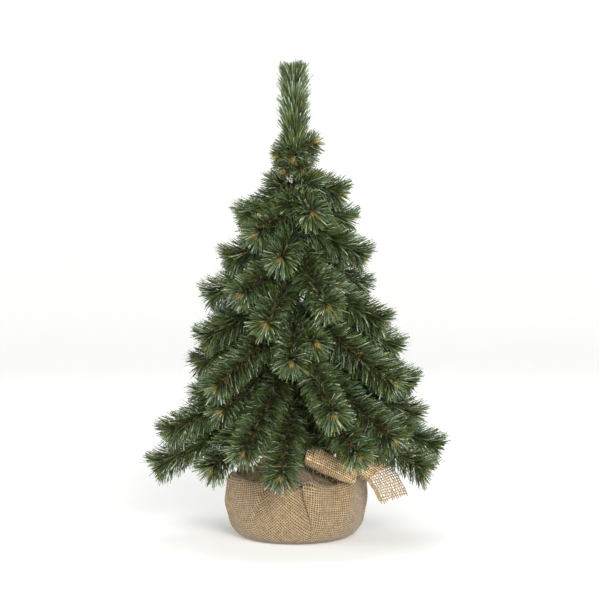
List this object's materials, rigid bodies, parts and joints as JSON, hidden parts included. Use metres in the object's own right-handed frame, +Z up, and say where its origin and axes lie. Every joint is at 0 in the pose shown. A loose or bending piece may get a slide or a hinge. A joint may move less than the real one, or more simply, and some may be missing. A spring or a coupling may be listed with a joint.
{
  "type": "artificial tabletop tree",
  "caption": "Small artificial fir tree with bendable bottle-brush branches on a taped rod, standing in a weighted burlap sack tied with a burlap ribbon.",
  "frame": {"origin": "on the trunk's axis, at the centre of the flat face under the sack", "axes": "+Z up the trunk, -Y towards the front where the ribbon is tied, +X to the right"},
  "size_m": [0.3723, 0.3389, 0.6],
  "materials": {
    "needle_green": "matte",
    "trunk_tape": "matte",
    "steel_wire": "satin",
    "cement": "matte",
    "bowl_plastic": "matte",
    "burlap": "matte",
    "ribbon_burlap": "matte"
  },
  "bodies": {
    "base": {"trunk_rod": "steel_wire", "trunk_tape": "trunk_tape", "cement_weight": "cement", "base_bowl": "bowl_plastic", "sack": "burlap", "neck_tie": "steel_wire", "ribbon_band": "ribbon_burlap", "ribbon_knot": "ribbon_burlap", "ribbon_loop_left": "ribbon_burlap", "ribbon_loop_right": "ribbon_burlap", "ribbon_tail_right": "ribbon_burlap"},
    "leader": {"leader": "needle_green"},
    "branch_01": {"branch_01": "needle_green"},
    "branch_02": {"branch_02": "needle_green"},
    "branch_03": {"branch_03": "needle_green"},
    "branch_04": {"branch_04": "needle_green"},
    "branch_05": {"branch_05": "needle_green"},
    "branch_06": {"branch_06": "needle_green"},
    "branch_07": {"branch_07": "needle_green"},
    "branch_08": {"branch_08": "needle_green"},
    "branch_09": {"branch_09": "needle_green"},
    "branch_10": {"branch_10": "needle_green"},
    "branch_11": {"branch_11": "needle_green"},
    "branch_12": {"branch_12": "needle_green"},
    "branch_13": {"branch_13": "needle_green"},
    "branch_14": {"branch_14": "needle_green"},
    "branch_15": {"branch_15": "needle_green"},
    "branch_16": {"branch_16": "needle_green"},
    "branch_17": {"branch_17": "needle_green"},
    "branch_18": {"branch_18": "needle_green"},
    "branch_19": {"branch_19": "needle_green"},
    "branch_20": {"branch_20": "needle_green"},
    "branch_21": {"branch_21": "needle_green"},
    "branch_22": {"branch_22": "needle_green"},
    "branch_23": {"branch_23": "needle_green"},
    "branch_24": {"branch_24": "needle_green"},
    "branch_25": {"branch_25": "needle_green"},
    "branch_26": {"branch_26": "needle_green"},
    "branch_27": {"branch_27": "needle_green"},
    "branch_28": {"branch_28": "needle_green"},
    "branch_29": {"branch_29": "needle_green"},
    "branch_30": {"branch_30": "needle_green"},
    "branch_31": {"branch_31": "needle_green"},
    "branch_32": {"branch_32": "needle_green"},
    "branch_33": {"branch_33": "needle_green"},
    "branch_34": {"branch_34": "needle_green"},
    "branch_35": {"branch_35": "needle_green"},
    "branch_36": {"branch_36": "needle_green"},
    "branch_37": {"branch_37": "needle_green"},
    "branch_38": {"branch_38": "needle_green"},
    "branch_39": {"branch_39": "needle_green"},
    "branch_40": {"branch_40": "needle_green"},
    "branch_41": {"branch_41": "needle_green"},
    "branch_42": {"branch_42": "needle_green"},
    "branch_43": {"branch_43": "needle_green"},
    "branch_44": {"branch_44": "needle_green"},
    "branch_45": {"branch_45": "needle_green"},
    "branch_46": {"branch_46": "needle_green"},
    "branch_47": {"branch_47": "needle_green"},
    "branch_48": {"branch_48": "needle_green"}
  },
  "joints": [
    {"name": "bend_leader", "type": "hinge", "parent": "base", "child": "leader", "pos_m": [0, 0, 0.458], "axis": [1, 0, 0], "range_deg": [-20, 20]},
    {"name": "bend_branch_01", "type": "hinge", "parent": "base", "child": "branch_01", "pos_m": [0.00591, -0.00104, 0.44997], "axis": [-0.1736, -0.9848, 0], "range_deg": [-15, 30]},
    {"name": "bend_branch_02", "type": "hinge", "parent": "base", "child": "branch_02", "pos_m": [-0.00598, -0.00052, 0.43672], "axis": [-0.0872, 0.9962, 0], "range_deg": [-15, 30]},
    {"name": "bend_branch_03", "type": "hinge", "parent": "base", "child": "branch_03", "pos_m": [0.00195, -0.00567, 0.43084], "axis": [-0.9455, -0.3256, 0], "range_deg": [-15, 30]},
    {"name": "bend_branch_04", "type": "hinge", "parent": "base", "child": "branch_04", "pos_m": [-0.00386, -0.0046, 0.41662], "axis": [-0.766, 0.6428, 0], "range_deg": [-15, 30]},
    {"name": "bend_branch_05", "type": "hinge", "parent": "base", "child": "branch_05", "pos_m": [0.00571, 0.00185, 0.42672], "axis": [0.309, -0.9511, 0], "range_deg": [-15, 30]},
    {"name": "bend_branch_06", "type": "hinge", "parent": "base", "child": "branch_06", "pos_m": [-0.0053, 0.00282, 0.40979], "axis": [0.4695, 0.8829, 0], "range_deg": [-10, 30]},
    {"name": "bend_branch_07", "type": "hinge", "parent": "base", "child": "branch_07", "pos_m": [0.00155, 0.0058, 0.44196], "axis": [0.9659, -0.2588, 0], "range_deg": [-15, 30]},
    {"name": "bend_branch_08", "type": "hinge", "parent": "base", "child": "branch_08", "pos_m": [-0.00205, 0.00564, 0.41539], "axis": [0.9397, 0.342, 0], "range_deg": [-10, 30]},
    {"name": "bend_branch_09", "type": "hinge", "parent": "base", "child": "branch_09", "pos_m": [0.00594, -0.00084, 0.39355], "axis": [-0.1392, -0.9903, 0], "range_deg": [-15, 30]},
    {"name": "bend_branch_10", "type": "hinge", "parent": "base", "child": "branch_10", "pos_m": [-0.00598, -0.00052, 0.38259], "axis": [-0.0872, 0.9962, 0], "range_deg": [-15, 20]},
    {"name": "bend_branch_11", "type": "hinge", "parent": "base", "child": "branch_11", "pos_m": [-0.00135, -0.00585, 0.38718], "axis": [-0.9744, 0.225, 0], "range_deg": [-15, 30]},
    {"name": "bend_branch_12", "type": "hinge", "parent": "base", "child": "branch_12", "pos_m": [0.00386, 0.0046, 0.40894], "axis": [0.766, -0.6428, 0], "range_deg": [-15, 30]},
    {"name": "bend_branch_13", "type": "hinge", "parent": "base", "child": "branch_13", "pos_m": [0.00564, 0.00205, 0.36285], "axis": [0.342, -0.9397, 0], "range_deg": [-15, 30]},
    {"name": "bend_branch_14", "type": "hinge", "parent": "base", "child": "branch_14", "pos_m": [0.00254, 0.00544, 0.37352], "axis": [0.9063, -0.4226, 0], "range_deg": [-15, 30]},
    {"name": "bend_branch_15", "type": "hinge", "parent": "base", "child": "branch_15", "pos_m": [-0.0046, 0.00386, 0.37741], "axis": [0.6428, 0.766, 0], "range_deg": [-15, 25]},
    {"name": "bend_branch_16", "type": "hinge", "parent": "base", "child": "branch_16", "pos_m": [-0.00596, 0.00073, 0.35265], "axis": [0.1219, 0.9925, 0], "range_deg": [-15, 20]},
    {"name": "bend_branch_17", "type": "hinge", "parent": "base", "child": "branch_17", "pos_m": [-0.00386, -0.0046, 0.3587], "axis": [-0.766, 0.6428, 0], "range_deg": [-15, 25]},
    {"name": "bend_branch_18", "type": "hinge", "parent": "base", "child": "branch_18", "pos_m": [0.00225, -0.00556, 0.35451], "axis": [-0.9272, -0.3746, 0], "range_deg": [-15, 30]},
    {"name": "bend_branch_19", "type": "hinge", "parent": "base", "child": "branch_19", "pos_m": [0.0058, -0.00155, 0.32909], "axis": [-0.2588, -0.9659, 0], "range_deg": [-15, 30]},
    {"name": "bend_branch_20", "type": "hinge", "parent": "base", "child": "branch_20", "pos_m": [-0.00185, -0.00571, 0.33327], "axis": [-0.9511, 0.309, 0], "range_deg": [-15, 25]},
    {"name": "bend_branch_21", "type": "hinge", "parent": "base", "child": "branch_21", "pos_m": [-0.00155, 0.0058, 0.34007], "axis": [0.9659, 0.2588, 0], "range_deg": [-15, 30]},
    {"name": "bend_branch_22", "type": "hinge", "parent": "base", "child": "branch_22", "pos_m": [0.00446, 0.00402, 0.33153], "axis": [0.6691, -0.7431, 0], "range_deg": [-15, 30]},
    {"name": "bend_branch_23", "type": "hinge", "parent": "base", "child": "branch_23", "pos_m": [-0.0058, -0.00155, 0.31581], "axis": [-0.2588, 0.9659, 0], "range_deg": [-15, 30]},
    {"name": "bend_branch_24", "type": "hinge", "parent": "base", "child": "branch_24", "pos_m": [0.00591, 0.00104, 0.30338], "axis": [0.1736, -0.9848, 0], "range_deg": [-15, 30]},
    {"name": "bend_branch_25", "type": "hinge", "parent": "base", "child": "branch_25", "pos_m": [-0.00587, 0.00125, 0.28041], "axis": [0.2079, 0.9781, 0], "range_deg": [-15, 30]},
    {"name": "bend_branch_26", "type": "hinge", "parent": "base", "child": "branch_26", "pos_m": [0.00492, -0.00344, 0.28502], "axis": [-0.5736, -0.8192, 0], "range_deg": [-15, 30]},
    {"name": "bend_branch_27", "type": "hinge", "parent": "base", "child": "branch_27", "pos_m": [-0.00021, -0.006, 0.30194], "axis": [-0.9994, 0.0349, 0], "range_deg": [-15, 25]},
    {"name": "bend_branch_28", "type": "hinge", "parent": "base", "child": "branch_28", "pos_m": [-0.0046, 0.00386, 0.31789], "axis": [0.6428, 0.766, 0], "range_deg": [-15, 20]},
    {"name": "bend_branch_29", "type": "hinge", "parent": "base", "child": "branch_29", "pos_m": [0.00254, 0.00544, 0.28203], "axis": [0.9063, -0.4226, 0], "range_deg": [-15, 30]},
    {"name": "bend_branch_30", "type": "hinge", "parent": "base", "child": "branch_30", "pos_m": [-0.003, 0.0052, 0.27716], "axis": [0.866, 0.5, 0], "range_deg": [-15, 30]},
    {"name": "bend_branch_31", "type": "hinge", "parent": "base", "child": "branch_31", "pos_m": [0.00594, -0.00084, 0.2709], "axis": [-0.1392, -0.9903, 0], "range_deg": [-10, 20]},
    {"name": "bend_branch_32", "type": "hinge", "parent": "base", "child": "branch_32", "pos_m": [-0.00402, -0.00446, 0.28087], "axis": [-0.7431, 0.6691, 0], "range_deg": [-15, 30]},
    {"name": "bend_branch_33", "type": "hinge", "parent": "base", "child": "branch_33", "pos_m": [-0.00556, 0.00225, 0.234], "axis": [0.3746, 0.9272, 0], "range_deg": [-10, 20]},
    {"name": "bend_branch_34", "type": "hinge", "parent": "base", "child": "branch_34", "pos_m": [0.00175, -0.00574, 0.25001], "axis": [-0.9563, -0.2924, 0], "range_deg": [-15, 30]},
    {"name": "bend_branch_35", "type": "hinge", "parent": "base", "child": "branch_35", "pos_m": [0.00591, 0.00104, 0.22704], "axis": [0.1736, -0.9848, 0], "range_deg": [-15, 20]},
    {"name": "bend_branch_36", "type": "hinge", "parent": "base", "child": "branch_36", "pos_m": [-0.00021, 0.006, 0.25895], "axis": [0.9994, 0.0349, 0], "range_deg": [-15, 30]},
    {"name": "bend_branch_37", "type": "hinge", "parent": "base", "child": "branch_37", "pos_m": [0.00492, 0.00344, 0.25495], "axis": [0.5736, -0.8192, 0], "range_deg": [-15, 25]},
    {"name": "bend_branch_38", "type": "hinge", "parent": "base", "child": "branch_38", "pos_m": [0.00424, -0.00424, 0.23115], "axis": [-0.7071, -0.7071, 0], "range_deg": [-10, 25]},
    {"name": "bend_branch_39", "type": "hinge", "parent": "base", "child": "branch_39", "pos_m": [-0.00544, -0.00254, 0.22387], "axis": [-0.4226, 0.9063, 0], "range_deg": [-15, 30]},
    {"name": "bend_branch_40", "type": "hinge", "parent": "base", "child": "branch_40", "pos_m": [-0.00225, -0.00556, 0.22573], "axis": [-0.9272, 0.3746, 0], "range_deg": [-10, 30]},
    {"name": "bend_branch_41", "type": "hinge", "parent": "base", "child": "branch_41", "pos_m": [0.00597, -0.00063, 0.19013], "axis": [-0.1045, -0.9945, 0], "range_deg": [-15, 15]},
    {"name": "bend_branch_42", "type": "hinge", "parent": "base", "child": "branch_42", "pos_m": [-0.0046, 0.00386, 0.21439], "axis": [0.6428, 0.766, 0], "range_deg": [-15, 30]},
    {"name": "bend_branch_43", "type": "hinge", "parent": "base", "child": "branch_43", "pos_m": [0.00155, 0.0058, 0.20952], "axis": [0.9659, -0.2588, 0], "range_deg": [-15, 30]},
    {"name": "bend_branch_44", "type": "hinge", "parent": "base", "child": "branch_44", "pos_m": [-0.00598, -0.00052, 0.17733], "axis": [-0.0872, 0.9962, 0], "range_deg": [-15, 30]},
    {"name": "bend_branch_45", "type": "hinge", "parent": "base", "child": "branch_45", "pos_m": [0.00539, -0.00263, 0.1757], "axis": [-0.4384, -0.8988, 0], "range_deg": [-5, 30]},
    {"name": "bend_branch_46", "type": "hinge", "parent": "base", "child": "branch_46", "pos_m": [0.00282, -0.0053, 0.20467], "axis": [-0.8829, -0.4695, 0], "range_deg": [-15, 15]},
    {"name": "bend_branch_47", "type": "hinge", "parent": "base", "child": "branch_47", "pos_m": [-0.00073, -0.00596, 0.1968], "axis": [-0.9925, 0.1219, 0], "range_deg": [-15, 20]},
    {"name": "bend_branch_48", "type": "hinge", "parent": "base", "child": "branch_48", "pos_m": [-0.00417, -0.00432, 0.20425], "axis": [-0.7193, 0.6947, 0], "range_deg": [-10, 20]}
  ]
}
